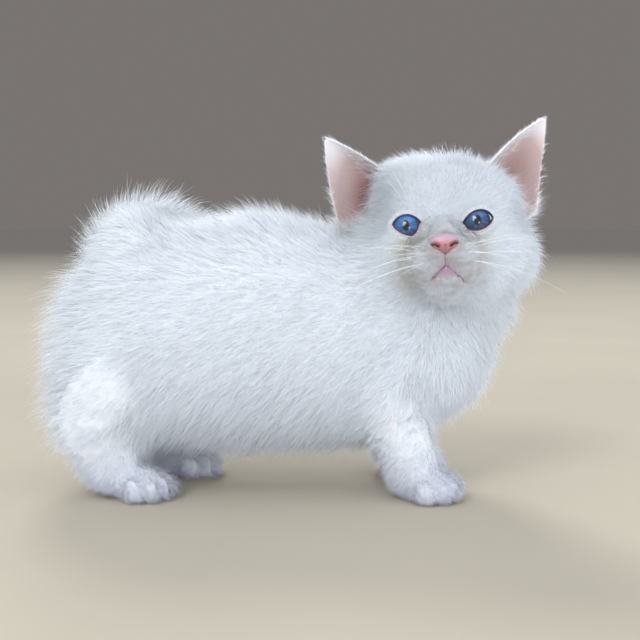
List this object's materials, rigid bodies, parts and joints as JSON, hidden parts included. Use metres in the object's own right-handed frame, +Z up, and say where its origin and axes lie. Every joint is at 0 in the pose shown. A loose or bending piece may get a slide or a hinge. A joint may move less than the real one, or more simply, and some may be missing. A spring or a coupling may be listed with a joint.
{
  "type": "munchkin kitten",
  "caption": "White short-legged munchkin kitten standing on all fours, head turned to its right side and tail curled over the rump; a still life-size model.",
  "frame": {"origin": "on the floor under the middle of the bounding box", "axes": "+X the way the body faces, +Y towards the kitten's left flank, +Z up; the face looks along -Y"},
  "size_m": [0.2078, 0.1011, 0.1507],
  "materials": {
    "coat": "soft white kitten fur",
    "ear": "thin pink skin with fine white fur",
    "eye": "wet gloss, blue iris",
    "nose": "moist pink nose leather"
  },
  "bodies": {
    "root": {"head": "coat", "muzzle": "coat", "chin": "coat", "neck": "coat", "chest": "coat", "belly": "coat", "rump": "coat", "tail_base": "coat", "tail_tip": "coat", "foreleg_left": "coat", "foreleg_right": "coat", "forepaw_left": "coat", "forepaw_right": "coat", "hindleg_left": "coat", "hindleg_right": "coat", "hindpaw_left": "coat", "hindpaw_right": "coat", "ear_left": "ear", "ear_right": "ear", "eye_left": "eye", "eye_right": "eye", "nose": "nose"}
  },
  "joints": []
}
